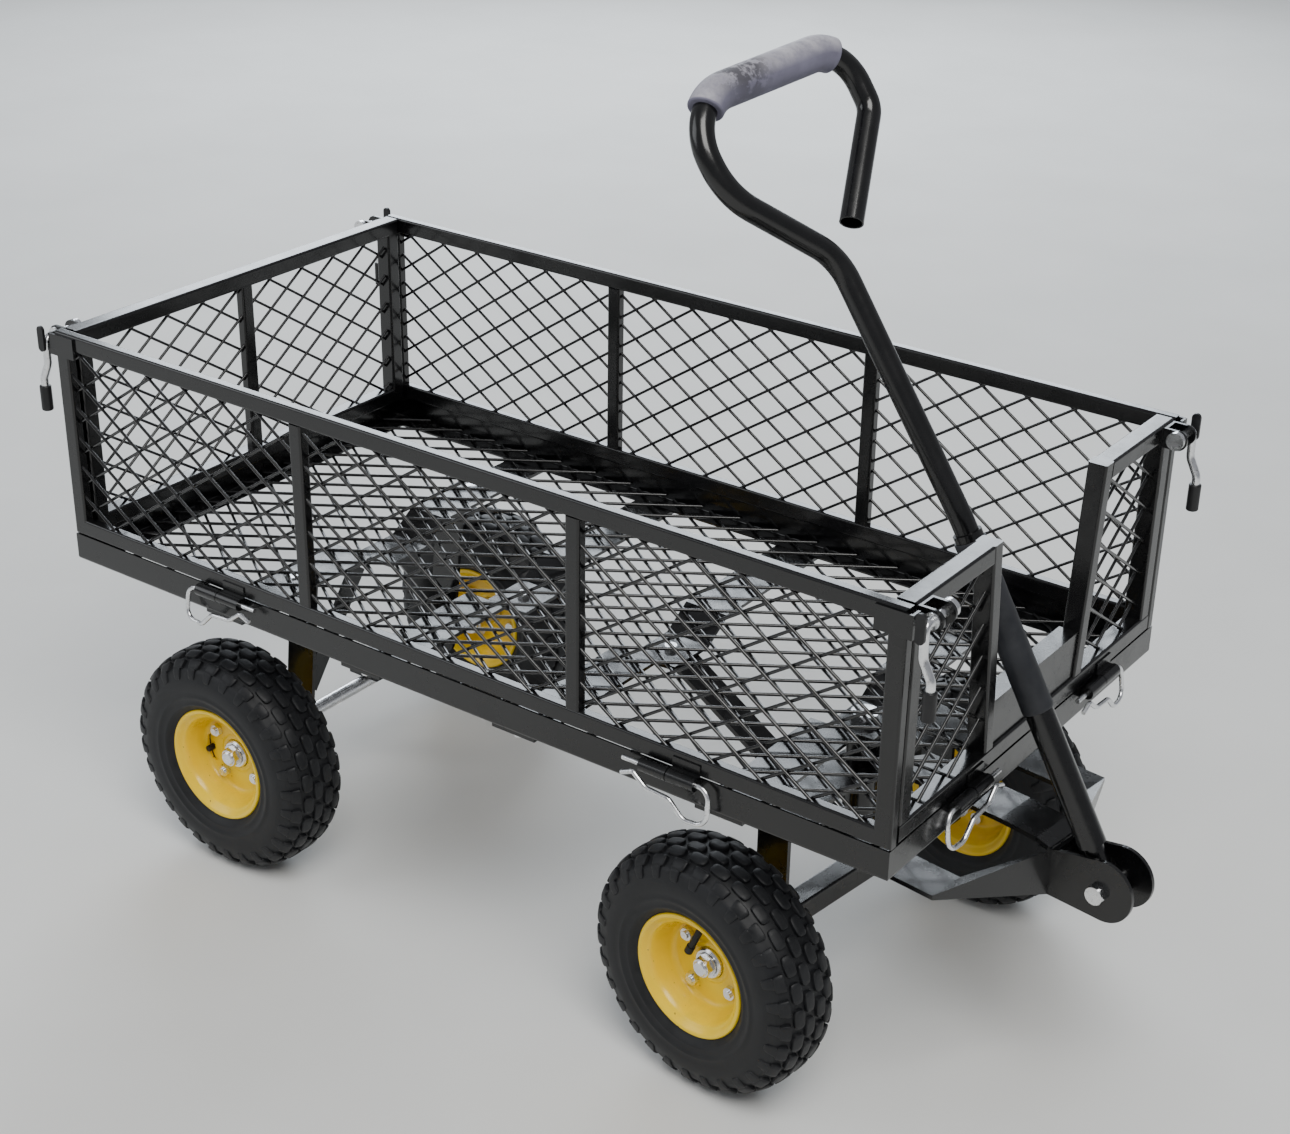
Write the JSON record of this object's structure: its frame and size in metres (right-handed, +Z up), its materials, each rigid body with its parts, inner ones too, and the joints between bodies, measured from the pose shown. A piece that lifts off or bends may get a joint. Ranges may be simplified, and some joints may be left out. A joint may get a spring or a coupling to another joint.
{
  "type": "garden cart",
  "caption": "Four-wheel steel mesh garden cart with fold-down panels, corner latches, steered front axle and a tilting pull handle with a looped grip",
  "frame": {"origin": "on the ground, under the middle of the whole cart's length and width", "axes": "+X towards the steered front and the pull handle, +Y to the cart's left, +Z up"},
  "size_m": [1.2031, 0.5568, 0.9682],
  "materials": {
    "black_paint": "semi-gloss",
    "black_wire": "semi-gloss",
    "yellow_paint": "gloss",
    "zinc": "satin",
    "tyre": "matte",
    "sleeve": "matte",
    "grip": "matte",
    "latch_grip": "matte"
  },
  "bodies": {
    "chassis": {"tray_side_rails": "black_paint", "tray_end_rails": "black_paint", "floor_mesh": "black_wire", "rear_cross_straps": "black_paint", "front_cross_straps": "black_paint", "rear_hangers": "black_paint", "rear_axle": "zinc", "rear_braces": "black_paint", "front_brace": "black_paint", "kingpin": "zinc", "strap_bolts": "zinc", "tray_hinge_barrels": "black_paint", "hinge_clips": "zinc", "front_frame": "black_paint", "front_plate": "black_paint", "front_mesh": "black_wire", "front_hinge_barrels": "black_paint", "front_latch_brackets": "black_paint"},
    "steering_truck": {"swivel_frame": "black_paint", "front_legs": "black_paint", "axle_beam": "black_paint", "front_axle": "zinc", "tongue_side_straps": "black_paint", "tongue_centre_strap": "black_paint", "hitch_bracket": "black_paint", "hitch_bolt": "zinc"},
    "handle": {"handle_lower_tube": "black_paint", "handle_sleeve": "sleeve", "handle_upper_tube": "black_paint", "handle_grip": "grip"},
    "wheel_front_right": {"tyre_front_right": "tyre", "rim_front_right": "yellow_paint", "hub_front_right": "zinc"},
    "wheel_front_left": {"tyre_front_left": "tyre", "rim_front_left": "yellow_paint", "hub_front_left": "zinc"},
    "wheel_rear_right": {"tyre_rear_right": "tyre", "rim_rear_right": "yellow_paint", "hub_rear_right": "zinc"},
    "wheel_rear_left": {"tyre_rear_left": "tyre", "rim_rear_left": "yellow_paint", "hub_rear_left": "zinc"},
    "right_panel": {"right_frame": "black_paint", "right_mesh": "black_wire", "right_fittings": "black_paint"},
    "left_panel": {"left_frame": "black_paint", "left_mesh": "black_wire", "left_fittings": "black_paint"},
    "rear_panel": {"rear_frame": "black_paint", "rear_mesh": "black_wire", "rear_fittings": "black_paint"},
    "latch_front_right": {"latch_lever_front_right": "zinc", "latch_grip_front_right": "latch_grip"},
    "latch_front_left": {"latch_lever_front_left": "zinc", "latch_grip_front_left": "latch_grip"},
    "latch_rear_right": {"latch_lever_rear_right": "zinc", "latch_grip_rear_right": "latch_grip"},
    "latch_rear_left": {"latch_lever_rear_left": "zinc", "latch_grip_rear_left": "latch_grip"}
  },
  "joints": [
    {"name": "steer", "type": "hinge", "parent": "chassis", "child": "steering_truck", "pos_m": [0.2745, 0, 0.25], "axis": [0, 0, 1], "range_deg": [-3, 22]},
    {"name": "handle_tilt", "type": "hinge", "parent": "steering_truck", "child": "handle", "pos_m": [0.56234, -0.03534, 0.25], "axis": [0.1219, 0.9925, 0], "range_deg": [0, 110]},
    {"name": "wheel_spin_front_right", "type": "hinge", "parent": "steering_truck", "child": "wheel_front_right", "pos_m": [0.24781, -0.21737, 0.13], "axis": [0.1219, 0.9925, 0], "continuous": true},
    {"name": "wheel_spin_front_left", "type": "hinge", "parent": "steering_truck", "child": "wheel_front_left", "pos_m": [0.30119, 0.21737, 0.13], "axis": [0.1219, 0.9925, 0], "continuous": true},
    {"name": "wheel_spin_rear_right", "type": "hinge", "parent": "chassis", "child": "wheel_rear_right", "pos_m": [-0.3885, -0.219, 0.13], "axis": [0, 1, 0], "continuous": true},
    {"name": "wheel_spin_rear_left", "type": "hinge", "parent": "chassis", "child": "wheel_rear_left", "pos_m": [-0.3885, 0.219, 0.13], "axis": [0, 1, 0], "continuous": true},
    {"name": "right_panel_fold", "type": "hinge", "parent": "chassis", "child": "right_panel", "pos_m": [-0.0585, -0.269, 0.357], "axis": [1, 0, 0], "range_deg": [0, 90]},
    {"name": "left_panel_fold", "type": "hinge", "parent": "chassis", "child": "left_panel", "pos_m": [-0.0585, 0.269, 0.357], "axis": [-1, 0, 0], "range_deg": [0, 90]},
    {"name": "rear_panel_fold", "type": "hinge", "parent": "chassis", "child": "rear_panel", "pos_m": [-0.5785, 0, 0.357], "axis": [0, -1, 0], "range_deg": [0, 90]},
    {"name": "latch_turn_front_right", "type": "hinge", "parent": "chassis", "child": "latch_front_right", "pos_m": [0.4695, -0.279, 0.583], "axis": [0, -1, 0], "range_deg": [0, 100]},
    {"name": "latch_turn_front_left", "type": "hinge", "parent": "chassis", "child": "latch_front_left", "pos_m": [0.4695, 0.279, 0.583], "axis": [0, -1, 0], "range_deg": [0, 100]},
    {"name": "latch_turn_rear_right", "type": "hinge", "parent": "rear_panel", "child": "latch_rear_right", "pos_m": [-0.5865, -0.279, 0.583], "axis": [0, 1, 0], "range_deg": [0, 100]},
    {"name": "latch_turn_rear_left", "type": "hinge", "parent": "rear_panel", "child": "latch_rear_left", "pos_m": [-0.5865, 0.279, 0.583], "axis": [0, 1, 0], "range_deg": [0, 100]}
  ]
}
